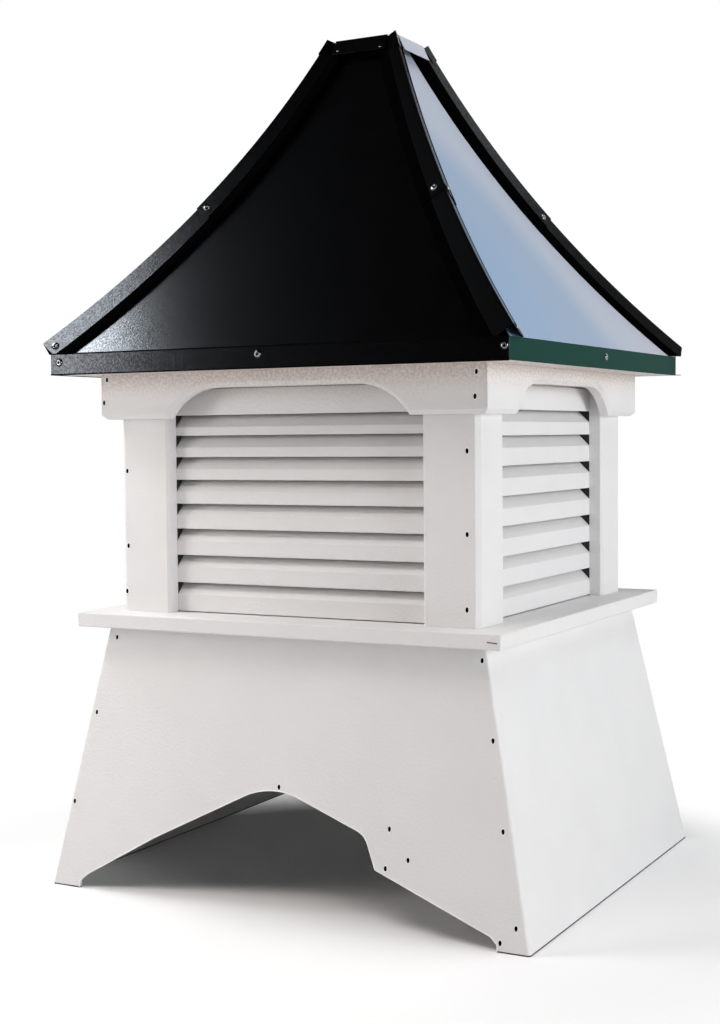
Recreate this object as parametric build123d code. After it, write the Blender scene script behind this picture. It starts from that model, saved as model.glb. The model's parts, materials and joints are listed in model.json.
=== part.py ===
"""Roof cupola: a flared base with a ridge saddle, a louvred tower and a concave hipped roof.

Millimetres, +Z up. The origin is the middle of the footprint on the ground, the front
faces -Y and the right side faces +X. Every tier above the base is square, so most pieces
are made once for the front or for one corner and turned about Z.
"""
import os
from math import sqrt

from build123d import *

# Flared base
base_width = 914.0           # across the feet, left to right
base_depth = 839.0           # across the feet, front to back
base_top = 726.0             # square, just under the sill
base_height = 466.0
base_sheet = 6.0
base_corner_round = 5.0

# Saddle cut-out of the front and back panels, measured from the middle and the ground
saddle_foot_left = -398.0
saddle_foot_right = 402.0
saddle_left_low = (-384.0, 25.0)
saddle_left_knee = (-243.0, 105.0)
saddle_apex = (-14.0, 219.0)
saddle_apex_round = 136.0
saddle_step_top = (165.0, 153.0)
saddle_step_round = 35.0
saddle_step_bottom = (186.0, 100.0)
saddle_right_low = (391.0, 22.0)

# Sill board
sill_width = 808.0
sill_thickness = 25.0
sill_edge = 1.5
throat_width = 580.0         # open square through the sill and the soffit

# Tower posts
tower_width = 691.0
tower_height = 421.0         # sill top to soffit
post_width = 100.0
post_board = 26.0
post_corner_bevel = 8.0
post_inner_bevel = 5.0

# Louvres
slat_sheet = 2.0
slat_slope_run = 28.0        # how far the sloped top of a blade runs in, and up
slat_slope_seen = 21.0       # height of the slope that the next blade leaves open
slat_return = 10.0
slat_nose_round = 1.4
front_slat_count = 9
front_top_pitch = 35.6
front_pitch_growth = 2.18    # each space is this much taller than the one above
side_slat_count = 8
side_top_pitch = 44.0
side_pitch = 50.9
slat_sill_gap = 1.5
stile_sheet = 3.0
stile_depth = 32.0
joint_gap = 0.3

# Frieze
frieze_height = 79.3
frieze_board = 24.0
frieze_bevel = 7.5
arch_half_width = 232.0
arch_flat_half = 135.0
arch_rise = 52.0

# Eave
eave_width = 864.0
soffit_sheet = 3.0
fascia_height = 36.0
fascia_sheet = 3.0
back_drip_reach = 8.0
back_drip_sheet = 1.5

# Roof
roof_rise = 566.0            # fascia top to the flat top
roof_reach = 48.0            # half size of the roof at the flat top
roof_bow = 29.7              # how far the curve sags below the straight line
roof_sheet = 2.5

# Hip caps
cap_wing_eave = 50.0         # width in plan of each wing, at the eave
cap_wing_top = 28.0          # and at the flat top
cap_ridge = 20.0             # height of the fold over the roof sheet
cap_fall = 0.25              # how fast a wing closes on the sheet, away from the fold
cap_sheet = 1.6
nest_gap = 0.2
cap_joint_height = 262.0     # over the fascia top
cap_overlap = 22.0

# Crown
crown_drop = 22.0            # plates hang this far below the roof sheet's top edge
crown_rise = 5.0             # and stand this far above it
ear_drop = 17.0
ear_rise = 10.0              # where its fold ends, over the roof sheet's top edge
ear_wing = 13.0              # width in plan
top_sheet = 3.0

# Heights that follow
sill_top = base_height + sill_thickness
soffit_bottom = sill_top + tower_height
frieze_bottom = soffit_bottom - frieze_height
fascia_top = soffit_bottom + fascia_height
flat_bottom = fascia_top + roof_rise
flat_top = flat_bottom + top_sheet

# Half sizes that follow
tower_half = tower_width / 2
frieze_half = tower_half + frieze_board
eave_half = eave_width / 2
opening_half = tower_half - post_width
recess_half = tower_half - post_board
nest_step = cap_sheet + nest_gap
upper_ridge = cap_ridge + nest_step
ear_ridge = upper_ridge + nest_step
span = 2.0 * base_width      # longer than any piece, for cutters

# Centre and radius of the roof's curve, seen from the side
chord_run = eave_half - roof_reach
chord = sqrt(chord_run ** 2 + roof_rise ** 2)
roof_radius = (chord ** 2 / 4 + roof_bow ** 2) / (2 * roof_bow)
chord_out = (roof_rise / chord, chord_run / chord)
curve_x = (eave_half + roof_reach) / 2 + (roof_radius - roof_bow) * chord_out[0]
curve_z = fascia_top + roof_rise / 2 + (roof_radius - roof_bow) * chord_out[1]

SIDES = {"front": 0.0, "right": 90.0, "back": 180.0, "left": 270.0}
CORNERS = {"front_right": 0.0, "back_right": 90.0, "back_left": 180.0, "front_left": 270.0}


def turned(shape, angle):
    """The shape turned about the vertical axis."""
    return Rot(0, 0, angle) * shape


def block(x0, x1, y0, y1, z0, z1):
    """A box between two corners."""
    centre = Pos((x0 + x1) / 2, (y0 + y1) / 2, (z0 + z1) / 2)
    return centre * Box(x1 - x0, y1 - y0, z1 - z0)


def plan_prism(points, z0, z1):
    """A plan outline raised from one height to another."""
    return Pos(0, 0, z0) * extrude(make_face(Polyline(*points, close=True)), amount=z1 - z0)


def front_wedge(z0, z1):
    """The quarter of the plan in front, between the two corner diagonals."""
    return plan_prism([(0, 0), (-span, -span), (span, -span)], z0, z1)


# Base

def base_body():
    """The outer form of the base, with its slanting corners rounded."""
    foot = Rectangle(base_width, base_depth)
    neck = Pos(0, 0, base_height) * Rectangle(base_top, base_top)
    body = loft([foot, neck])
    corners = [e for e in body.edges() if abs(e.tangent_at(0).Z) > 0.5]
    return fillet(corners, base_corner_round)


def sheet_slab(foot_half, angle):
    """A slab as thick as the sheet, lying under one sloping face of the base."""
    lean = Vector(0, foot_half - base_top / 2, base_height).normalized()
    outward = Vector(0, -lean.Z, lean.Y)
    face = Plane(origin=(0, -foot_half, 0), x_dir=(1, 0, 0), z_dir=outward)
    slab = face * Box(span, span, base_sheet, align=(Align.CENTER, Align.CENTER, Align.MAX))
    return turned(slab, angle)


def saddle_cutter():
    """The ridge saddle: two slopes under a rounded apex, with a step down on the right."""
    below = -base_sheet
    points = [
        (saddle_foot_left, below),
        (saddle_foot_left, saddle_left_low[1] / 2),
        saddle_left_low,
        saddle_left_knee,
        saddle_apex,
        saddle_step_top,
        saddle_step_bottom,
        saddle_right_low,
        (saddle_foot_right, saddle_right_low[1] / 2),
        (saddle_foot_right, below),
    ]
    outline = make_face(Polyline(*points, close=True))
    apex = outline.vertices().sort_by_distance((*saddle_apex, 0))[0]
    outline = fillet(apex, saddle_apex_round)
    step = outline.vertices().sort_by_distance((*saddle_step_top, 0))[0]
    outline = fillet(step, saddle_step_round)
    standing = Plane(origin=(0, span / 2, 0), x_dir=(1, 0, 0), z_dir=(0, -1, 0))
    return extrude(standing * outline, amount=span)


def base_panels():
    """Front and back sheets run the full width; the side sheets fit between them."""
    body = base_body()
    saddle = saddle_cutter()
    panels = {}
    for name in ("front", "back"):
        panels[name] = (body & sheet_slab(base_depth / 2, SIDES[name])) - saddle
    for name in ("left", "right"):
        side = body & sheet_slab(base_width / 2, SIDES[name])
        for end in ("front", "back"):
            side -= sheet_slab(base_depth / 2, SIDES[end])
        panels[name] = side
    return panels


def sill_board():
    """A flat board with eased edges and the open throat."""
    half = sill_width / 2
    board = block(-half, half, -half, half, base_height, sill_top)
    board = chamfer(board.edges(), sill_edge)
    inner = throat_width / 2
    return board - block(-inner, inner, -inner, inner, base_height, sill_top)


# Tower

def corner_post():
    """The front right post: two boards in an L, bevelled outside and at the free edges."""
    o = tower_half
    p = opening_half
    q = recess_half
    outer = post_corner_bevel
    inner = post_inner_bevel
    points = [
        (p + inner, -o), (o - outer, -o), (o, outer - o), (o, -p - inner),
        (o - inner, -p), (q, -p), (q, -q), (p, -q), (p, inner - o),
    ]
    return plan_prism(points, sill_top, soffit_bottom)


def slat_section(face_height):
    """One blade seen from its end: flat face, slope running in, and a lower return."""
    s = slat_sheet
    k = slat_slope_run
    root = sqrt(2.0)
    points = [
        (0, 0), (0, face_height), (k, face_height + k), (k, face_height + k - root * s),
        (s, face_height - (root - 1) * s), (s, s), (slat_return, s), (slat_return, 0),
    ]
    section = make_face(Polyline(*points, close=True))
    nose = section.vertices().sort_by_distance((0, 0, 0))[0]
    return fillet(nose, slat_nose_round)


def slat_pitches(name):
    """Spaces between blades from the top down; on the front they open towards the sill."""
    if name in ("front", "back"):
        return [front_top_pitch + front_pitch_growth * i for i in range(front_slat_count - 1)]
    return [side_top_pitch] + [side_pitch] * (side_slat_count - 2)


def louvre_slats(name):
    """All the blades of one side, lying apart between the stiles."""
    pitches = slat_pitches(name)
    z = sill_top + slat_sill_gap
    top_face = soffit_bottom - joint_gap - slat_slope_run - z - sum(pitches)
    faces = [pitch - slat_slope_seen for pitch in reversed(pitches)] + [top_face]
    blades = []
    for face, pitch in zip(faces, list(reversed(pitches)) + [0]):
        seat = Plane(origin=(-opening_half, -recess_half, z), x_dir=(0, 1, 0), z_dir=(1, 0, 0))
        blades.append(extrude(seat * slat_section(face), amount=2 * opening_half))
        z += pitch
    return turned(Compound(children=blades), SIDES[name])


def louvre_stiles():
    """Two dark plates behind the front posts, with the blades' ends against them."""
    a = opening_half
    b = opening_half + stile_sheet
    y0 = -recess_half
    y1 = y0 + stile_depth
    right = block(a, b, y0, y1, sill_top, soffit_bottom)
    left = block(-b, -a, y0, y1, sill_top, soffit_bottom)
    return Compound(children=[left, right])


def frieze_board_front():
    """A mitred board whose lower edge rises in a flat arch, bevelled all along below."""
    z0 = frieze_bottom
    run = arch_half_width - arch_flat_half
    radius = (run ** 2 + arch_rise ** 2) / (2 * arch_rise)
    top = z0 + arch_rise
    mid_x = arch_flat_half + run / 2
    mid_drop = radius - sqrt(radius ** 2 - (run / 2) ** 2)
    h = frieze_half
    edges = [
        Line((-h, soffit_bottom), (-h, z0)),
        Line((-h, z0), (-arch_half_width, z0)),
        ThreePointArc((-arch_half_width, z0), (-mid_x, top - mid_drop), (-arch_flat_half, top)),
        Line((-arch_flat_half, top), (arch_flat_half, top)),
        ThreePointArc((arch_flat_half, top), (mid_x, top - mid_drop), (arch_half_width, z0)),
        Line((arch_half_width, z0), (h, z0)),
        Line((h, z0), (h, soffit_bottom)),
        Line((h, soffit_bottom), (-h, soffit_bottom)),
    ]
    outline = make_face(edges)
    standing = Plane(origin=(0, -tower_half, 0), x_dir=(1, 0, 0), z_dir=(0, -1, 0))
    board = extrude(standing * outline, amount=frieze_board)
    front = board.faces().sort_by(Axis.Y)[0]
    lower = [e for e in front.edges() if e.center().Z < top + 1 and abs(e.center().X) < h - 1]
    board = chamfer(lower, frieze_bevel)
    return board & front_wedge(z0 - 1, soffit_bottom + 1)


# Eave and roof

def soffit_ring():
    """A flat sheet from the fascia to the throat, lying on the posts and the frieze."""
    outer = eave_half - fascia_sheet
    inner = throat_width / 2
    ring = block(-outer, outer, -outer, outer, soffit_bottom, soffit_bottom + soffit_sheet)
    return ring - block(-inner, inner, -inner, inner, soffit_bottom, soffit_bottom + soffit_sheet)


def fascia_front():
    """A mitred upright band."""
    e = eave_half
    band = block(-e, e, -e, fascia_sheet - e, soffit_bottom, fascia_top)
    return band & front_wedge(soffit_bottom - 1, fascia_top + 1)


def fascia_back():
    """The band of the back, with a thin drip lip turned out along its lower edge."""
    e = eave_half + back_drip_reach
    lip = block(-e, e, -e, 1 - eave_half, soffit_bottom, soffit_bottom + back_drip_sheet)
    lip = lip & front_wedge(soffit_bottom - 1, fascia_top)
    return turned(fascia_front() + lip, SIDES["back"])


def curve_reach(z, offset):
    """Half size of the roof's curve at one height, measured square off the sheet."""
    return curve_x - sqrt((roof_radius - offset) ** 2 - (curve_z - z) ** 2)


def curved_band(inner, outer, z0, z1):
    """A strip of the front slope between two distances off the sheet, the full width."""
    middle = (z0 + z1) / 2

    def at(z, offset):
        return (-curve_reach(z, offset), z)

    edges = [
        ThreePointArc(at(z0, inner), at(middle, inner), at(z1, inner)),
        Line(at(z1, inner), at(z1, outer)),
        ThreePointArc(at(z1, outer), at(middle, outer), at(z0, outer)),
        Line(at(z0, outer), at(z0, inner)),
    ]
    side_on = Plane(origin=(-span / 2, 0, 0), x_dir=(0, 1, 0), z_dir=(1, 0, 0))
    return extrude(side_on * make_face(edges), amount=span)


def roof_panel_front():
    """A curved sheet from the fascia to the flat top, mitred on the hips."""
    return curved_band(-roof_sheet, 0, fascia_top, flat_bottom) & front_wedge(fascia_top - 1, flat_top)


def wing_width(reach):
    """Plan width of a cap's wing; it narrows evenly towards the flat top."""
    return cap_wing_top + (cap_wing_eave - cap_wing_top) * (reach - roof_reach) / chord_run


def hip_strip(near, far, z0, z1):
    """Plan strip on the front slope along its right hip; near and far are widths off the hip."""
    points = [(-near(0), 0), (-far(0), 0), (span - far(span), -span), (span - near(span), -span)]
    return plan_prism(points, z0, z1)


def under_wing(ridge, z0, z1):
    """All that lies under a wing of the front slope, down past the sheet, at its right hip.

    The fold's line is drawn in the upright plane of the hip and swept along the slope;
    the sweep leans in towards the sheet, so the wing closes on it away from the fold.
    """
    reach = 2 * cap_wing_eave
    low = z0 - reach
    high = z1 + reach
    heights = [low + (high - low) * i / 6 for i in range(7)]
    fold = [(sqrt(2) * curve_reach(z, ridge), z) for z in heights]
    deep = [(sqrt(2) * curve_reach(z, -reach), z) for z in (low, high)]
    outline = [Spline(*fold), Line(fold[-1], deep[1]), Line(deep[1], deep[0]), Line(deep[0], fold[0])]
    hip_plane = Plane(origin=(0, 0, 0), x_dir=(1, -1, 0), z_dir=(-1, -1, 0))
    lean = cap_fall * roof_rise / chord
    sink = cap_fall * chord_run / chord
    along = Vector(-1, lean, -sink)
    return extrude(hip_plane * make_face(outline), amount=reach * along.length, dir=along.normalized())


def hip_angle(ridge, width, z0, z1):
    """A folded angle over the front right hip: two leaning wings with legs down to the sheet."""

    def hip(reach):
        return 0

    def inside(reach):
        return width(reach) - cap_sheet

    solid = under_wing(ridge, z0, z1) & hip_strip(hip, width, z0, z1)
    hollow = under_wing(ridge - cap_sheet, z0, z1) & hip_strip(hip, inside, z0, z1)
    half = (solid - hollow) - curved_band(-4 * cap_wing_eave, 0, z0 - 1, z1 + 1)
    return half + mirror(half, about=Plane(origin=(0, 0, 0), z_dir=(1, 1, 0)))


def below_square_cut(height, ridge):
    """All that lies below a cut made square to the front right hip at one height of its fold."""
    reach = curve_reach(height, ridge)
    run = (curve_z - height) / (curve_x - reach)
    down_hip = Vector(run, -run, -1)
    cut = Plane(origin=(reach, -reach, height), z_dir=down_hip)
    return cut * Box(span, span, span, align=(Align.CENTER, Align.CENTER, Align.MIN))


def hip_cap_lower():
    """The lower length, level with the eave and cut square to the hip through its corner."""
    joint = fascia_top + cap_joint_height
    angle = hip_angle(cap_ridge, wing_width, fascia_top, joint + cap_overlap + cap_wing_eave)
    lower = angle & below_square_cut(joint + cap_overlap, cap_ridge)
    return lower - below_square_cut(fascia_top, 0)


def hip_cap_upper():
    """The upper length, nested over the lower one at the joint."""

    def width(reach):
        return wing_width(reach) + nest_step

    joint = fascia_top + cap_joint_height
    upper = hip_angle(upper_ridge, width, joint - cap_wing_eave, flat_bottom)
    return upper - below_square_cut(joint, upper_ridge)


def crown_offset():
    """How far off the roof sheet the crown plates lie, with their ends on the caps' wings."""
    tip_step = curve_reach(flat_bottom, upper_ridge) - curve_reach(flat_bottom + crown_rise, upper_ridge)
    return upper_ridge - cap_fall * (ear_wing + joint_gap + tip_step) + nest_gap


def crown_plate():
    """A short plate on the hip caps' wings, between the ears."""
    z0 = flat_bottom - crown_drop
    z1 = flat_bottom + crown_rise
    offset = crown_offset()
    half = curve_reach(z1, offset) - ear_wing - joint_gap
    band = curved_band(offset, offset + cap_sheet, z0, z1)
    return band & block(-half, half, -span, 0, z0, z1)


def crown_corner():
    """A folded ear over the end of the front right hip cap, cut square at both ends."""
    tip = flat_bottom + ear_rise
    foot = flat_bottom - ear_drop

    def hip(reach):
        return 0

    def width(reach):
        return ear_wing

    outer = under_wing(ear_ridge, foot, tip) - under_wing(ear_ridge - cap_sheet, foot, tip)
    half = outer & hip_strip(hip, width, foot - ear_wing, tip)
    ear = half + mirror(half, about=Plane(origin=(0, 0, 0), z_dir=(1, 1, 0)))
    return (ear & below_square_cut(tip, ear_ridge)) - below_square_cut(foot, ear_ridge)


def top_plate():
    """The flat plate that closes the top, clear of the crown's lean."""
    half = curve_reach(flat_bottom + crown_rise, crown_offset()) - joint_gap
    return block(-half, half, -half, half, flat_bottom, flat_top)


def cupola():
    """Every piece by name."""
    pieces = {}
    for name, panel in base_panels().items():
        pieces["base_" + name] = panel
    pieces["sill_board"] = sill_board()
    for name, angle in CORNERS.items():
        pieces["post_" + name] = turned(corner_post(), angle)
    for name, angle in SIDES.items():
        pieces["louvre_slats_" + name] = louvre_slats(name)
        pieces["louvre_stiles_" + name] = turned(louvre_stiles(), angle)
        pieces["frieze_" + name] = turned(frieze_board_front(), angle)
        pieces["roof_panel_" + name] = turned(roof_panel_front(), angle)
        pieces["crown_" + name] = turned(crown_plate(), angle)
        if name == "back":
            pieces["fascia_back"] = fascia_back()
        else:
            pieces["fascia_" + name] = turned(fascia_front(), angle)
    pieces["soffit"] = soffit_ring()
    lower = hip_cap_lower()
    upper = hip_cap_upper()
    for name, angle in CORNERS.items():
        pieces["hip_cap_lower_" + name] = turned(lower, angle)
        pieces["hip_cap_upper_" + name] = turned(upper, angle)
    ear = crown_corner()
    pieces["crown_corners"] = Compound(children=[turned(ear, angle) for angle in CORNERS.values()])
    pieces["top_plate"] = top_plate()
    return pieces


os.makedirs("parts", exist_ok=True)
for node, shape in cupola().items():
    export_step(shape, os.path.join("parts", node + ".step"))
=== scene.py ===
"""Looks of the roof cupola: camera, studio light, materials, rivets, screw holes and edge trims."""
import json
import math
from collections import namedtuple

import bmesh
import bpy
from mathutils import Matrix, Vector
from mathutils.bvhtree import BVHTree


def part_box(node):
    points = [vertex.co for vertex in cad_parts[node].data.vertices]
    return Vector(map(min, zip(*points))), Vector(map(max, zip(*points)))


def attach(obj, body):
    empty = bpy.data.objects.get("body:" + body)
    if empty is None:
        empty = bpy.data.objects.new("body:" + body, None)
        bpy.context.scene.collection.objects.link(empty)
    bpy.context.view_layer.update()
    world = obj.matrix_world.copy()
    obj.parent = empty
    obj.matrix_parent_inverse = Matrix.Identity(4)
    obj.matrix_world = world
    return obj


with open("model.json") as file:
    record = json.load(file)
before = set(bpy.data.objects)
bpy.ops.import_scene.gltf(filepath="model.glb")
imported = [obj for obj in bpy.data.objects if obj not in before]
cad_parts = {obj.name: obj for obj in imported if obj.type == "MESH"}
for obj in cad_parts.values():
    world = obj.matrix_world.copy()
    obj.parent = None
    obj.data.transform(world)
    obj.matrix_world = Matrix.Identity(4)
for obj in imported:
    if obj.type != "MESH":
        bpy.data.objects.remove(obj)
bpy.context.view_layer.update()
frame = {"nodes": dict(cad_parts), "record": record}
bpy.context.scene.view_settings.view_transform = "Standard"

MM = 0.001                           # metres
QUARTER = math.pi / 2                # a quarter turn in radians

# Camera, in metres and radians, in the frame of the model
PHOTO_HEIGHT = 1024                  # pixels
SENSOR = 36.0                        # millimetres
CAMERA_AT = Vector((1.3639, -2.7333, 0.8004))
CAMERA_YAW = -0.5068
CAMERA_PITCH = -0.0466
CAMERA_ROLL = -0.0098
FOCAL_PIXELS = 1633.3
CENTRE_SHIFT_PIXELS = -50.0

# Lamps: name, place, target, width and height in metres, power in watts, colour
MIDDLE = (0.0, 0.0, 0.7)
LIGHTS = (
    ("key_right", (4.2, -0.7, 1.1), MIDDLE, 2.4, 2.0, 106, (0.955, 0.975, 1.0)),
    ("fill_front", (-0.3, -2.6, 4.2), MIDDLE, 2.2, 1.6, 66, (1.0, 0.935, 0.90)),
    ("key_left", (-1.40, -1.50, 1.05), (-0.35, -0.40, 0.85), 0.5, 0.9, 11.5, (1.0, 0.955, 0.935)),
    ("sheen_left", (-1.39, -0.51, 2.09), (-0.40, -0.42, 0.97), 1.2, 0.45, 26, (0.95, 0.975, 1.0)),
    ("top_right", (1.7, 1.5, 3.8), MIDDLE, 2.2, 2.2, 42, (0.96, 0.98, 1.0)),
)
DULL_LIGHTS = ("fill_front",)        # lamps that gloss doesn't show

# Room and floor, in metres; a fade runs from its first value, where it starts, to its second
PURE_WHITE = (1.0, 1.0, 1.0, 1.0)
WALL_LIGHT = 0.20
CEILING_LIGHT = 0.02
GLOSS_WALLS = 0.02                   # share of the room's light that gloss shows
WALL_FADE = (0.25, 0.65)             # how high a direction points where the wall turns to ceiling
BACKDROP_WAY = Vector((-0.485, 0.873, 0.05))    # from the object to the wall behind it
BACKDROP_FADE = (0.15, 0.55)         # how far a direction points that way where gloss sees the white
FLOOR_HALF = 9.0
FLOOR_CENTRE = (0.05, -0.22, 0.0)
FLOOR_FADE = (0.60, 1.00)            # distance from the centre where the shadow gives way to white
FLOOR_BEHIND = (0.2, 1.2)            # distance behind the middle where gloss comes to see the white
FLOOR_TONE = (0.8, 0.8, 0.8, 1.0)
FLOOR_SEEN = (1.0, 1.0, 1.0, 1.0)    # the floor's tone for the camera

# Grain of the finishes: width of a grain in metres, strength of its relief from 0 to 1, and the
# relief's depth and the edge radius in metres
Grain = namedtuple("Grain", "size strength depth edge")
BOARD_GRAIN = Grain(0.0048, 0.70, 0.0011, 0.0016)
BLACK_GRAIN = Grain(0.0028, 0.42, 0.0004, 0.0012)
COLOR_GRAIN = Grain(0.0019, 0.25, 0.0004, 0.0012)
FRAME_GRAIN = Grain(0.003, 0.2, 0.0004, 0.001)
STEEL_GRAIN = Grain(0.0012, 0.1, 0.0002, 0.0004)
CUT_GRAIN = Grain(0.0015, 0.2, 0.0003, 0.0006)
EDGE_SAMPLES = 4
GRAIN_DETAIL = 2.0                   # a noise's detail: how much finer unevenness it holds
SPECKLE_DETAIL = 1.0
SPECKLE_SPAN = (0.36, 0.64)          # values of the noise between which a speckle changes
MOTTLE_DETAIL = 3.0
MOTTLE_SPAN = (0.35, 0.65)           # values of the noise between which a mottle changes

# White boards
WHITE = (0.80, 0.79, 0.785)
WHITE_MOTTLE = 0.12                  # width of the uneven patches in metres
WHITE_DARKEST = 0.975                # the patches' tone as a share of the white
# Painted shade under the eave: the boards turn darker and warmer towards it, in grains
EAVE_SHADE_SPECKLE = 0.0045                # width of the grains of painted shade under the eave, in metres
EAVE_SHADE_SHARES = (0.4, 1.7)             # least and most of that painted shade in its grains
EAVE_SHADE_HEIGHTS = (0.855, 0.935)        # where the painted shade under the eave begins and where it is full
EAVE_SHADE_TINT = (0.80, 0.70, 0.64, 1.0)
CONTACT_SHADOW_HEIGHT = 0.0022                   # height of the painted contact shadow, a dark line along the base's lower edges
CONTACT_SHADOW_TINT = (0.06, 0.06, 0.06, 1.0)

# Black coat, and the hip caps' own
BLACK = (0.0010, 0.0010, 0.0012)
BLACK_ROUGHNESS = 0.20
BLACK_MOTTLE = 0.05                  # width of the uneven patches in metres
BLACK_LIGHTEST = 1.6                 # the patches' tone as a share of the black
BLACK_SPECKLE = 0.0038               # width of the shining grains in metres
BLACK_SHINE = (0.32, 0.68)           # lowest and highest specular level of the grains
COOL_GLOSS = (0.80, 0.89, 1.0, 1.0)
CAP_COATS = {                        # by corner: specular level, and what its wings' lean is multiplied by
    "front_left": (0.20, 0.0),
    "front_right": (0.05, 1.0),
    "back_left": (0.20, 0.0),
    "back_right": (0.05, 1.0),
}
CAP_SHARES = (0.6, 1.4)              # lowest and highest share of that level in the grains
CAP_HEIGHTS = (0.96, 1.50)           # foot and head of the caps
CAP_SHINE_WIDTHS = (0.034, 0.018)    # how far from the hip the shine reaches at the foot and at the head
LEG_TURN = 0.45                      # a cap's face that looks inward by more than this is a folded leg
CROWN_EARS = "crown_corners"
CROWN_EARS_COAT = "front_right"      # the crown's ears are as dull as this cap

# Plain finishes
# louvre frame plates: near-black as painted shade behind the posts
FRAME_SHADE_DARK = (0.012, 0.012, 0.012)
# dark of holes and hollows: painted shade
HOLE_SHADE = (0.003, 0.003, 0.003)
STEEL = (0.34, 0.34, 0.35)
# pale of the cut edges and the screw holes' rims: painted highlight
EDGE_HIGHLIGHT_WHITE = (0.93, 0.93, 0.93)

# Coats whose colour changes with the distance from a point, which paints reflection and light into them:
# stops of distance in metres and colour
# Right slope: the pale blue is partly the coat's colour and partly a painted reflection of bright light,
# strongest near this point
BLUE_REFLECTION_CENTRE = (0.30, -0.28, 1.04)
BLUE_REFLECTION_STOPS = (
    (0.05, (0.25, 0.38, 0.56)),
    (0.30, (0.29, 0.39, 0.53)),
    (0.46, (0.44, 0.49, 0.58)),
    (0.67, (0.50, 0.52, 0.59)),
)
# Right eave band: dark green, with painted light making it slightly lighter away from the near corner
GREEN_PAINTED_LIGHT_CENTRE = (0.43, -0.43, 0.93)
GREEN_PAINTED_LIGHT_STOPS = ((0.0, (0.012, 0.050, 0.040)), (0.86, (0.016, 0.056, 0.044)))

# Places on the faces of the model, seen square on: across and height, in millimetres
SIDES = ("front", "right", "back", "left")
RAY_START = 1.0                      # metres from the middle, clear of the object
FASCIA_RIVETS_LONG = ((-413.8, 933.0), (-8.7, 934.8), (424.5, 934.4))
FASCIA_RIVETS_SHORT = ((12.0, 932.4),)
CAP_RIVETS = ((-417.6, 962.2), (-225.9, 1210.5), (220.6, 1211.4))
CROWN_RIVETS = ((-44.0, 1499.0), (42.4, 1497.0))
POST_HOLES = (
    (-333.1, 741.0), (-332.7, 607.6), (-337.0, 526.3),
    (324.2, 774.0), (323.8, 641.1), (322.8, 520.7),
)
FRIEZE_HOLES = ((-357.1, 902.8), (-364.0, 862.3), (351.3, 898.2), (348.7, 859.8))
BASE_HOLES = (
    (-346.5, 445.0), (-381.5, 310.5), (-419.0, 150.0), (357.0, 444.0), (381.0, 321.0),
    (404.0, 183.5), (432.0, 39.6), (406.6, 14.4), (208.5, 167.0), (244.0, 121.5), (204.4, 104.0),
)
SADDLE_NICK = (0.5, 214.0)
SILL_NAIL = ((381.6, 478.6), (398.2, 477.4))

# Turned forms, as radius and height in millimetres
RING_SIDES = 20
RIVET_WASHER = ((7.4, -0.4), (7.3, 0.5), (6.6, 0.9), (5.0, 1.0))
RIVET_HEAD = ((5.6, 0.6), (5.4, 1.6), (4.5, 2.3), (3.2, 2.5), (2.5, 2.2), (2.1, 1.2))
# A rivet's dark heart is painted shade in the hollow of its head
RIVET_HEART_SHADE = ((2.2, 1.2), (1.2, 1.25), (0.0, 1.3))
CROWN_PIN = ((2.3, -0.2), (2.2, 0.6), (1.4, 1.1), (0.0, 1.2))
# A screw hole is a dark disc of painted shade on the face
HOLE_SHADE_DISC = ((4.5, 0.1), (2.0, 0.16), (0.0, 0.18))
# the screw hole's pale rim is a painted highlight
HOLE_HIGHLIGHT_RIM = ((4.4, 0.05), (4.7, 0.45), (5.2, 0.5), (5.8, 0.3), (6.0, -0.1))
HOLE_NARROWING = 0.6

# Beads along edges, in metres
# the bead on the saddle's cut is a painted highlight
CUT_HIGHLIGHT_BEAD = 0.0011
HEM_BEAD = 0.0012
NAIL_BEAD = 0.0008
BEAD_ROUNDING = 2
SADDLE_HALF = 0.41                   # the saddle's cut lies within this of the middle
SADDLE_FOOT = 0.0005                 # and above this height
CUT_LOWEST = 0.0015                  # lowest middle of the bead, clear of the ground
SAME_POINT = 0.00001
FACING_OUT = 0.95                    # an outer face looks outward by more than this
FACING_ASIDE = 0.3                   # and a cut's face by less than this


# Node helpers

def feed(tree, node, name, value):
    """Gives an input of a node a value, or links it to another node's output."""
    if isinstance(value, bpy.types.NodeSocket):
        tree.links.new(value, node.inputs[name])
    else:
        node.inputs[name].default_value = value


def add_node(tree, kind, inputs, **settings):
    """A new shader node with its settings made first and its inputs fed after them."""
    node = tree.nodes.new("ShaderNode" + kind)
    for name, value in settings.items():
        setattr(node, name, value)
    for name, value in inputs.items():
        feed(tree, node, name, value)
    return node


def math_node(tree, operation, first, second=0.0):
    """A sum, product, comparison or the like of one or two numbers; returns its output."""
    return add_node(tree, "Math", {0: first, 1: second}, operation=operation).outputs["Value"]


def vector_node(tree, operation, first, second):
    """A number from two vectors, such as their distance; returns its output."""
    return add_node(tree, "VectorMath", {0: first, 1: second}, operation=operation).outputs["Value"]


def map_range(tree, value, before=(0.0, 1.0), after=(0.0, 1.0), shape="LINEAR"):
    """A number carried from one span to another and held at its ends; returns its output."""
    spans = {
        "Value": value,
        "From Min": before[0],
        "From Max": before[1],
        "To Min": after[0],
        "To Max": after[1],
    }
    return add_node(tree, "MapRange", spans, interpolation_type=shape).outputs["Result"]


def fade(tree, value, low, high):
    """A smooth step from 0 at low to 1 at high; returns its output."""
    return map_range(tree, value, before=(low, high), shape="SMOOTHSTEP")


def axes_of(tree, vector):
    """The outputs X, Y and Z of a vector."""
    return add_node(tree, "SeparateXYZ", {"Vector": vector}).outputs


def model_place(tree):
    """The place on the model in metres, as an output."""
    return add_node(tree, "TexCoord", {}).outputs["Object"]


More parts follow.
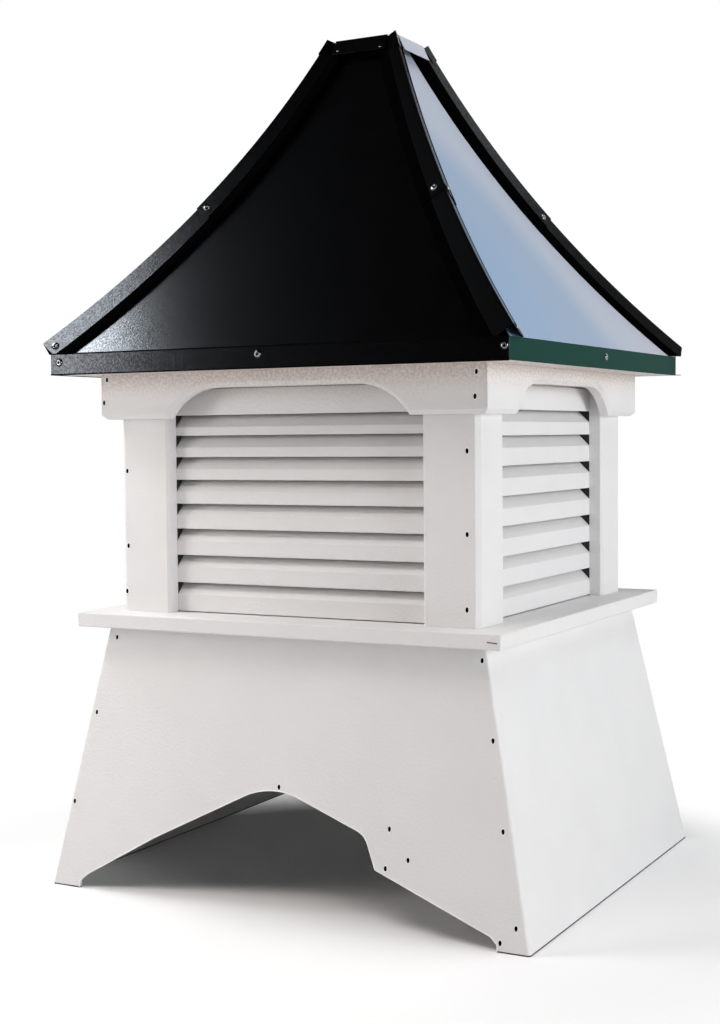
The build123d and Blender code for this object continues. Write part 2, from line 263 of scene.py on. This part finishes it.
def model_noise(tree, size, detail):
    """Noise fixed to the model; size is the width of one grain in metres."""
    inputs = {"Vector": model_place(tree), "Scale": 1.0 / size, "Detail": detail}
    return add_node(tree, "TexNoise", inputs).outputs["Fac"]


def color_ramp(tree, share, stops, shape="LINEAR"):
    """The colour at a share, from two or more stops of share and colour; returns its output."""
    ramp = add_node(tree, "ValToRGB", {"Fac": share})
    ramp.color_ramp.interpolation = shape
    ends = ramp.color_ramp.elements
    for end, (at, color) in zip(ends, (stops[0], stops[-1])):
        end.position = at
        end.color = (*color, 1.0)
    for at, color in stops[1:-1]:
        ends.new(at).color = (*color, 1.0)
    return ramp.outputs["Color"]


# Parts of finishes

def new_material(name, color, roughness, metallic=0.0, specular=0.5):
    """A plain surface; returns the material, its node tree and its shader."""
    material = bpy.data.materials.new(name)
    material.use_nodes = True
    tree = material.node_tree
    shader = tree.nodes["Principled BSDF"]
    shader.inputs["Base Color"].default_value = (*color, 1.0)
    shader.inputs["Roughness"].default_value = roughness
    shader.inputs["Metallic"].default_value = metallic
    shader.inputs["Specular IOR Level"].default_value = specular
    return material, tree, shader


def add_relief(tree, shader, grain, facing):
    """Fine relief of a textured sheet, on a face that looks the way given."""
    relief = {
        "Strength": grain.strength,
        "Distance": grain.depth,
        "Normal": facing,
        "Height": model_noise(tree, grain.size, GRAIN_DETAIL),
    }
    feed(tree, shader, "Normal", add_node(tree, "Bump", relief).outputs["Normal"])


def add_grain(tree, shader, grain):
    """Fine relief of a textured sheet, with its edges softened."""
    soften = add_node(tree, "Bevel", {"Radius": grain.edge}, samples=EDGE_SAMPLES)
    add_relief(tree, shader, grain, soften.outputs["Normal"])


def speckle(tree, size, low, high):
    """Uneven share between two values, in grains of a size; returns its output."""
    return map_range(tree, model_noise(tree, size, SPECKLE_DETAIL), SPECKLE_SPAN, (low, high))


def mottle(tree, size, dark, light):
    """Slow uneven tone between two colours; returns its output."""
    stops = tuple(zip(MOTTLE_SPAN, (dark, light)))
    return color_ramp(tree, model_noise(tree, size, MOTTLE_DETAIL), stops)


def tinted(tree, color, share, tint):
    """A colour multiplied by a tint as far as a share says; returns its output."""
    inputs = {"Factor": share, "A": color, "B": tint}
    return add_node(tree, "Mix", inputs, data_type="RGBA", blend_type="MULTIPLY").outputs["Result"]


def times(values, share):
    """Each of the values multiplied by a share."""
    return tuple(share * value for value in values)


def on_wings(tree, facing, corner):
    """1 on the wings of a hip cap and 0 on its folded legs, which look inward; returns its output."""
    way = axes_of(tree, facing)
    inward_x = math_node(tree, "MULTIPLY", way["X"], -1 if corner.endswith("right") else 1)
    inward_y = math_node(tree, "MULTIPLY", way["Y"], 1 if corner.startswith("front") else -1)
    inward = math_node(tree, "MAXIMUM", inward_x, inward_y)
    return math_node(tree, "LESS_THAN", inward, LEG_TURN)


def near_hip(tree):
    """1 on the strip along the hip that shines and 0 beside it; returns its output."""
    place = axes_of(tree, model_place(tree))
    far_x = math_node(tree, "ABSOLUTE", place["X"])
    far_y = math_node(tree, "ABSOLUTE", place["Y"])
    offset = math_node(tree, "ABSOLUTE", math_node(tree, "SUBTRACT", far_x, far_y))
    width = map_range(tree, place["Z"], CAP_HEIGHTS, CAP_SHINE_WIDTHS)
    return math_node(tree, "LESS_THAN", offset, width)


def leaned(tree, facing, lean):
    """The way a wing looks, with its sideways lean multiplied; returns its output."""
    way = axes_of(tree, facing)
    far_x = math_node(tree, "ABSOLUTE", way["X"])
    far_y = math_node(tree, "ABSOLUTE", way["Y"])
    on_front = math_node(tree, "LESS_THAN", far_x, far_y)
    ways = {"Factor": on_front, "A": (1, lean, 1), "B": (lean, 1, 1)}
    turns = add_node(tree, "Mix", ways, data_type="VECTOR").outputs["Result"]
    turned = add_node(tree, "VectorMath", {0: facing, 1: turns}, operation="MULTIPLY")
    unit = add_node(tree, "VectorMath", {0: turned.outputs["Vector"]}, operation="NORMALIZE")
    return unit.outputs["Vector"]


# Finishes

def white_board():
    """Satin white board with a leathery grain; painted shade darkens and warms it near the eave, and a
    painted contact shadow runs along the base's foot.
    """
    material, tree, shader = new_material("white_board", WHITE, roughness=0.5, specular=0.35)
    height = axes_of(tree, model_place(tree))["Z"]
    # painted shade under the eave, in grains
    eave_shade_fade = fade(tree, height, *EAVE_SHADE_HEIGHTS)
    eave_shade = math_node(tree, "MULTIPLY", eave_shade_fade, speckle(tree, EAVE_SHADE_SPECKLE, *EAVE_SHADE_SHARES))
    # painted contact shadow along the base's foot
    foot = math_node(tree, "LESS_THAN", height, CONTACT_SHADOW_HEIGHT)
    color = mottle(tree, WHITE_MOTTLE, times(WHITE, WHITE_DARKEST), WHITE)
    color = tinted(tree, color, eave_shade, EAVE_SHADE_TINT)
    color = tinted(tree, color, foot, CONTACT_SHADOW_TINT)
    feed(tree, shader, "Base Color", color)
    add_grain(tree, shader, BOARD_GRAIN)
    return material


def black_coat():
    """Black powder coat, semi-gloss, with fine grains in its relief and in its shine."""
    material, tree, shader = new_material("black_coat", BLACK, BLACK_ROUGHNESS)
    color = mottle(tree, BLACK_MOTTLE, BLACK, times(BLACK, BLACK_LIGHTEST))
    feed(tree, shader, "Base Color", color)
    feed(tree, shader, "Specular Tint", COOL_GLOSS)
    feed(tree, shader, "Specular IOR Level", speckle(tree, BLACK_SPECKLE, *BLACK_SHINE))
    add_grain(tree, shader, BLACK_GRAIN)
    return material


def cap_coat(corner):
    """The black coat of one hip cap, which shines only along the hip, on its wings."""
    specular, lean = CAP_COATS[corner]
    material, tree, shader = new_material("cap_coat_" + corner, BLACK, BLACK_ROUGHNESS)
    facing = add_node(tree, "NewGeometry", {}).outputs["True Normal"]
    lit = math_node(tree, "MULTIPLY", on_wings(tree, facing, corner), near_hip(tree))
    grains = speckle(tree, BLACK_SPECKLE, *times(CAP_SHARES, specular))
    feed(tree, shader, "Specular Tint", COOL_GLOSS)
    feed(tree, shader, "Specular IOR Level", math_node(tree, "MULTIPLY", lit, grains))
    add_relief(tree, shader, BLACK_GRAIN, leaned(tree, facing, lean))
    return material


def blended_coat(name, centre, stops, roughness, specular):
    """A coat whose colour changes evenly with the distance from a point of the model."""
    material, tree, shader = new_material(name, stops[0][1], roughness, specular=specular)
    first = stops[0][0]
    last = stops[-1][0]
    away = vector_node(tree, "DISTANCE", model_place(tree), centre)
    share = map_range(tree, away, before=(first, last))
    shares = [((at - first) / (last - first), color) for at, color in stops]
    feed(tree, shader, "Base Color", color_ramp(tree, share, shares, "EASE"))
    add_grain(tree, shader, COLOR_GRAIN)
    return material


def pale_blue_reflection_coat():
    """Pale grey-blue coat of the right slope, partly its colour and partly a painted reflection: bluest
    near the near corner, greyer away from it.
    """
    return blended_coat("pale_blue_reflection_coat", BLUE_REFLECTION_CENTRE, BLUE_REFLECTION_STOPS, roughness=0.42, specular=0.3)


def green_coat():
    """Dark green coat of the right eave band, with painted light: slightly lighter away from the near
    corner.
    """
    return blended_coat("green_coat", GREEN_PAINTED_LIGHT_CENTRE, GREEN_PAINTED_LIGHT_STOPS, roughness=0.5, specular=0.01)


def dark_frame():
    """Dull plates beside the louvre blades, whose near-black is painted shade standing for the shadow
    behind the posts.
    """
    material, tree, shader = new_material("dark_frame", FRAME_SHADE_DARK, roughness=0.7)
    add_grain(tree, shader, FRAME_GRAIN)
    return material


def painted_hole_shade():
    """Painted shade: the dark inside of a hole or hollow, without gloss; the eave's hems take it too."""
    return new_material("painted_hole_shade", HOLE_SHADE, roughness=0.9, specular=0.0)[0]


def rivet_steel():
    """Bright steel of the rivets."""
    material, tree, shader = new_material("rivet_steel", STEEL, roughness=0.2, metallic=1.0)
    add_grain(tree, shader, STEEL_GRAIN)
    return material


def cut_edge_highlight():
    """Painted highlight: a pale edge, whiter than the board, along a cut and round screw holes."""
    material, tree, shader = new_material("cut_edge_highlight", EDGE_HIGHLIGHT_WHITE, roughness=0.6, specular=0.2)
    add_grain(tree, shader, CUT_GRAIN)
    return material


def make_finishes():
    """Every finish by name: those of the record's slots, and those of small pieces and hip caps."""
    finishes = {
        "white_pvc": white_board(),
        "black_metal": black_coat(),
        "pale_blue_metal": pale_blue_reflection_coat(),
        "green_metal": green_coat(),
        "dark_frame": dark_frame(),
        "hole": painted_hole_shade(),
        "steel": rivet_steel(),
        "cut_edge": cut_edge_highlight(),
    }
    for corner in CAP_COATS:
        finishes[corner] = cap_coat(corner)
    return finishes


def finish_of(node, slot):
    """The name of a CAD node's finish: its slot's, or a cap coat on the hip caps and the crown's ears."""
    if node == CROWN_EARS:
        return CROWN_EARS_COAT
    for corner in CAP_COATS:
        if node.startswith("hip_cap") and node.endswith(corner):
            return corner
    return slot


def dress_nodes(finishes):
    """Gives each CAD node its finish."""
    for part in frame["record"]["subparts"]:
        mesh = frame["nodes"][part["node"]].data
        mesh.materials.clear()
        mesh.materials.append(finishes[finish_of(part["node"], part["material_slot"])])


# Seats of the small pieces

def surface_tree(start):
    """A ray target made of the CAD nodes whose names start so."""
    verts = []
    faces = []
    for name, obj in frame["nodes"].items():
        if not name.startswith(start):
            continue
        first = len(verts)
        verts.extend(v.co.copy() for v in obj.data.vertices)
        faces.extend([first + i for i in p.vertices] for p in obj.data.polygons)
    return BVHTree.FromPolygons(verts, faces)


def seats(tree, places, sides):
    """Places and outward normals where points aimed at square on meet the model, on some sides."""
    found = []
    for side in sides:
        turn = Matrix.Rotation(QUARTER * SIDES.index(side), 3, "Z")
        inward = turn @ Vector((0, 1, 0))
        for across, height in places:
            start = turn @ Vector((across * MM, -RAY_START, height * MM))
            at, normal = tree.ray_cast(start, inward)[:2]
            if normal.dot(inward) > 0:
                normal = -normal
            found.append((at, normal))
    return found


# Small pieces

def add_ring(form, radius, height):
    """One ring of points of a turned form, or its tip where the radius is 0."""
    if radius == 0:
        return [form.verts.new((0, 0, height * MM))]
    ring = []
    for i in range(RING_SIDES):
        angle = 2 * math.pi * i / RING_SIDES
        x = radius * MM * math.cos(angle)
        y = radius * MM * math.sin(angle)
        ring.append(form.verts.new((x, y, height * MM)))
    return ring


def lathe(profile):
    """A turned form about +Z from pairs of radius and height in millimetres."""
    form = bmesh.new()
    rings = [add_ring(form, radius, height) for radius, height in profile]
    for low, high in zip(rings, rings[1:]):
        for i in range(RING_SIDES):
            j = (i + 1) % RING_SIDES
            if len(high) == 1:
                form.faces.new((low[i], low[j], high[0]))
            else:
                form.faces.new((low[i], low[j], high[j], high[i]))
    return form


def add_piece(name, data):
    """Puts a mesh or curve in the scene as a piece that rides on the body."""
    obj = bpy.data.objects.new(name, data)
    bpy.context.scene.collection.objects.link(obj)
    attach(obj, "root")


def join_at(name, profile, places, material, narrowing=1.0):
    """One smooth mesh of like turned forms, each standing on its place along its normal."""
    joined = bmesh.new()
    for at, normal in places:
        form = lathe(profile)
        stand = normal.to_track_quat("Z", "Y").to_matrix().to_4x4()
        place = Matrix.Translation(at) @ stand @ Matrix.Diagonal((narrowing, 1, 1, 1))
        bmesh.ops.transform(form, matrix=place, verts=form.verts)
        part = bpy.data.meshes.new("part")
        form.to_mesh(part)
        joined.from_mesh(part)
        form.free()
        bpy.data.meshes.remove(part)
    mesh = bpy.data.meshes.new(name)
    joined.to_mesh(mesh)
    joined.free()
    for face in mesh.polygons:
        face.use_smooth = True
    mesh.materials.append(material)
    add_piece(name, mesh)


def make_rivets(finishes):
    """Rivets on the eave bands and the hip caps, and pins on the crown."""
    fascia = surface_tree("fascia")
    places = seats(fascia, FASCIA_RIVETS_LONG, ("front", "back"))
    places += seats(fascia, FASCIA_RIVETS_SHORT, ("right", "left"))
    places += seats(surface_tree("hip_cap"), CAP_RIVETS, SIDES)
    join_at("rivet_washers", RIVET_WASHER, places, finishes["black_metal"])
    join_at("rivet_heads", RIVET_HEAD, places, finishes["steel"])
    # each rivet's dark heart is painted shade
    join_at("rivet_heart_shades", RIVET_HEART_SHADE, places, finishes["hole"])
    pins = seats(surface_tree("crown"), CROWN_RIVETS, ("front", "back"))
    join_at("crown_pins", CROWN_PIN, pins, finishes["steel"])


def make_screw_holes(finishes):
    """Upright oval screw holes, drawn as dark discs of painted shade, each with a pale raised rim that is
    a painted highlight.
    """
    places = seats(surface_tree("post"), POST_HOLES, ("front", "back"))
    places += seats(surface_tree("frieze"), FRIEZE_HOLES, ("front", "back"))
    base = surface_tree("base")
    mirrored = [(-across, height) for across, height in BASE_HOLES]
    places += seats(base, (*BASE_HOLES, SADDLE_NICK), ("front",))
    places += seats(base, mirrored, ("back",))
    join_at("screw_hole_shades", HOLE_SHADE_DISC, places, finishes["hole"], HOLE_NARROWING)
    join_at("screw_hole_highlight_rims", HOLE_HIGHLIGHT_RIM, places, finishes["cut_edge"], HOLE_NARROWING)


# Trims along edges

def bead(name, lines, radius, material):
    """A thin round bead along some lines of points."""
    data = bpy.data.curves.new(name, "CURVE")
    data.dimensions = "3D"
    data.bevel_depth = radius
    data.bevel_resolution = BEAD_ROUNDING
    data.use_fill_caps = True
    for points in lines:
        spline = data.splines.new("POLY")
        spline.points.add(len(points) - 1)
        for target, point in zip(spline.points, points):
            target.co = (*point, 1.0)
    data.materials.append(material)
    add_piece(name, data)


def cut_edges(node, outward):
    """The lines where a base panel's outer face meets the saddle's cut, as pairs of points."""
    form = bmesh.new()
    form.from_mesh(frame["nodes"][node].data)
    bmesh.ops.remove_doubles(form, verts=form.verts, dist=SAME_POINT)
    lines = []
    for edge in form.edges:
        if len(edge.link_faces) != 2:
            continue
        facing = [face.normal.dot(outward) for face in edge.link_faces]
        middle = (edge.verts[0].co + edge.verts[1].co) / 2
        in_saddle = abs(middle.x) < SADDLE_HALF and middle.z > SADDLE_FOOT
        if in_saddle and max(facing) > FACING_OUT and abs(min(facing)) < FACING_ASIDE:
            lines.append([Vector((v.co.x, v.co.y, max(v.co.z, CUT_LOWEST))) for v in edge.verts])
    form.free()
    return lines


def trim_saddle(finishes):
    """A pale bead along the saddle's cut, front and back: a painted highlight on its edge."""
    lines = cut_edges("base_front", Vector((0, -1, 0))) + cut_edges("base_back", Vector((0, 1, 0)))
    bead("saddle_cut_highlights", lines, CUT_HIGHLIGHT_BEAD, finishes["cut_edge"])


def trim_eave(finishes):
    """Dark hems of the black eave bands, in the dull dark of painted shade: on top on three sides, below
    on the front and the left.
    """
    low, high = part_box("fascia_front")
    side = high.x
    top = [(side, -side, high.z), (-side, -side, high.z), (-side, side, high.z), (side, side, high.z)]
    bottom = [(side, -side, low.z), (-side, -side, low.z), (-side, side, low.z)]
    bead("eave_hems", [top, bottom], HEM_BEAD, finishes["hole"])


def nail_sill(finishes):
    """The nail in the front edge of the sill board."""
    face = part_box("sill_board")[0].y
    nail = [(across * MM, face, height * MM) for across, height in SILL_NAIL]
    bead("sill_nail", [nail], NAIL_BEAD, finishes["dark_frame"])


# Stage and light

def make_camera():
    """A camera at the photograph's place and turn."""
    data = bpy.data.cameras.new("camera")
    data.sensor_fit = "AUTO"
    data.sensor_width = SENSOR
    data.lens = FOCAL_PIXELS * SENSOR / PHOTO_HEIGHT
    data.shift_x = -CENTRE_SHIFT_PIXELS / PHOTO_HEIGHT
    obj = bpy.data.objects.new("camera", data)
    forward = Vector((
        math.sin(CAMERA_YAW) * math.cos(CAMERA_PITCH),
        math.cos(CAMERA_YAW) * math.cos(CAMERA_PITCH),
        math.sin(CAMERA_PITCH),
    ))
    level = Vector((math.cos(CAMERA_YAW), -math.sin(CAMERA_YAW), 0))
    upright = level.cross(forward)
    right = math.cos(CAMERA_ROLL) * level + math.sin(CAMERA_ROLL) * upright
    up = -math.sin(CAMERA_ROLL) * level + math.cos(CAMERA_ROLL) * upright
    turn = Matrix((right, up, -forward)).transposed()
    obj.matrix_world = Matrix.Translation(CAMERA_AT) @ turn.to_4x4()
    bpy.context.scene.collection.objects.link(obj)
    bpy.context.scene.camera = obj


def soft_light(name, at, target, width, height, power, color):
    """A studio softbox aimed at a point, which the camera doesn't see."""
    data = bpy.data.lights.new(name, "AREA")
    data.shape = "RECTANGLE"
    data.size = width
    data.size_y = height
    data.energy = power
    data.color = color
    obj = bpy.data.objects.new(name, data)
    aim = (Vector(target) - Vector(at)).to_track_quat("-Z", "Y")
    obj.matrix_world = Matrix.Translation(Vector(at)) @ aim.to_matrix().to_4x4()
    obj.visible_camera = False
    obj.visible_glossy = name not in DULL_LIGHTS
    bpy.context.scene.collection.objects.link(obj)


def mix_shaders(tree, share, first, second):
    """Goes from one surface to another as far as a share says; returns its output."""
    return add_node(tree, "MixShader", {"Fac": share, 1: first, 2: second}).outputs["Shader"]


def make_world():
    """Light walls under a dark ceiling; the camera sees white, and so does gloss behind the object."""
    world = bpy.data.worlds.new("studio")
    bpy.context.scene.world = world
    world.use_nodes = True
    tree = world.node_tree
    tree.nodes.clear()
    rays = add_node(tree, "LightPath", {}).outputs
    way = add_node(tree, "TexCoord", {}).outputs["Generated"]
    rise = axes_of(tree, way)["Z"]
    behind = fade(tree, vector_node(tree, "DOT_PRODUCT", way, BACKDROP_WAY), *BACKDROP_FADE)
    backdrop = math_node(tree, "MULTIPLY", behind, fade(tree, rise, *reversed(WALL_FADE)))
    gloss = math_node(tree, "MAXIMUM", rays["Is Glossy Ray"], rays["Is Transmission Ray"])
    glossy = math_node(tree, "MULTIPLY", backdrop, gloss)
    seen = math_node(tree, "MAXIMUM", rays["Is Camera Ray"], glossy)
    strength = map_range(tree, fade(tree, rise, *WALL_FADE), after=(WALL_LIGHT, CEILING_LIGHT))
    tone = map_range(tree, rays["Is Glossy Ray"], after=(1.0, GLOSS_WALLS))
    room = add_node(tree, "Background", {"Color": tone, "Strength": strength}).outputs["Background"]
    white = add_node(tree, "Background", {"Color": PURE_WHITE}).outputs["Background"]
    add_node(tree, "OutputWorld", {"Surface": mix_shaders(tree, seen, room, white)})


def floor_material():
    """A pale floor; away from the object the camera sees it white, and so does gloss behind it."""
    material = bpy.data.materials.new("floor")
    material.use_nodes = True
    tree = material.node_tree
    tree.nodes.clear()
    rays = add_node(tree, "LightPath", {}).outputs
    place = model_place(tree)
    far = fade(tree, vector_node(tree, "DISTANCE", place, FLOOR_CENTRE), *FLOOR_FADE)
    behind = fade(tree, vector_node(tree, "DOT_PRODUCT", place, BACKDROP_WAY), *FLOOR_BEHIND)
    glossy = math_node(tree, "MULTIPLY", behind, rays["Is Glossy Ray"])
    looked = math_node(tree, "MAXIMUM", rays["Is Camera Ray"], glossy)
    seen = math_node(tree, "MULTIPLY", far, looked)
    tones = {"Factor": rays["Is Camera Ray"], "A": FLOOR_TONE, "B": FLOOR_SEEN}
    tone = add_node(tree, "Mix", tones, data_type="RGBA").outputs["Result"]
    pale = add_node(tree, "BsdfDiffuse", {"Color": tone}).outputs["BSDF"]
    white = add_node(tree, "Emission", {"Color": PURE_WHITE}).outputs["Emission"]
    add_node(tree, "OutputMaterial", {"Surface": mix_shaders(tree, seen, pale, white)})
    return material


def make_floor():
    """A wide square floor that keeps the shadow near the object and runs out into white."""
    half = FLOOR_HALF
    mesh = bpy.data.meshes.new("floor")
    corners = [(-half, -half, 0), (half, -half, 0), (half, half, 0), (-half, half, 0)]
    mesh.from_pydata(corners, [], [(0, 1, 2, 3)])
    mesh.materials.append(floor_material())
    obj = bpy.data.objects.new("floor", mesh)
    bpy.context.scene.collection.objects.link(obj)


finishes = make_finishes()
dress_nodes(finishes)
make_rivets(finishes)
make_screw_holes(finishes)
trim_saddle(finishes)
trim_eave(finishes)
nail_sill(finishes)
make_camera()
for light in LIGHTS:
    soft_light(*light)
make_world()
make_floor()
